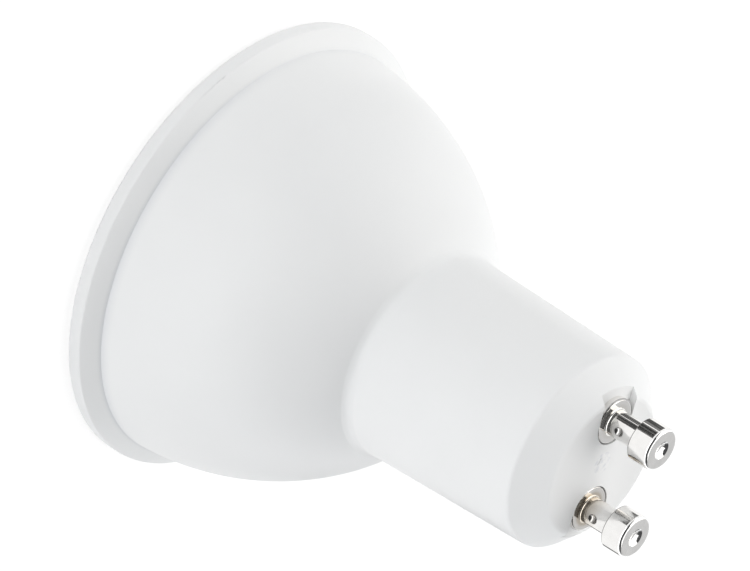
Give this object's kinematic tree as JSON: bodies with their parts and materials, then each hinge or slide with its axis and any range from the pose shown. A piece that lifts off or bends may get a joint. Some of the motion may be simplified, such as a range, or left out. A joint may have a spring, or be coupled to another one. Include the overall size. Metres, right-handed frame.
{
  "type": "gu10 spotlight bulb",
  "caption": "White moulded spotlight lamp with a flanged bowl, straight neck and a bevelled base with headed twist-lock contact pins.",
  "frame": {"origin": "centre of the flat front face, on the lamp's axis", "axes": "+Z along the lamp's axis from the front face to the pins, X through both pins"},
  "size_m": [0.05, 0.05, 0.0567],
  "materials": {
    "housing": "white moulded thermoplastic, satin gloss",
    "diffuser": "milky translucent plastic, satin",
    "heat_sink": "pressed sheet",
    "led_board": "white solder mask on a metal core",
    "led_chips": "yellow phosphor in a white case",
    "driver_board": "green solder mask",
    "capacitor_sleeve": "shrink sleeve",
    "ferrite": "sintered ferrite",
    "winding": "enamelled copper wire",
    "chip_package": "moulded epoxy",
    "resistor_lacquer": "lacquer",
    "wire": "tinned copper",
    "contact_pin": "bright nickel plate on brass"
  },
  "bodies": {
    "root": {"housing": "housing", "diffuser": "diffuser", "heat_sink": "heat_sink", "led_board": "led_board", "led_chips": "led_chips", "led_leads": "wire", "driver_board": "driver_board", "bulk_capacitor": "capacitor_sleeve", "choke_core": "ferrite", "choke_winding": "winding", "driver_chip": "chip_package", "bridge_rectifier": "chip_package", "fuse_resistor": "resistor_lacquer", "chip_resistors": "chip_package", "mains_wire_left": "wire", "mains_wire_right": "wire", "contact_pin_left": "contact_pin", "contact_pin_right": "contact_pin"}
  },
  "joints": []
}
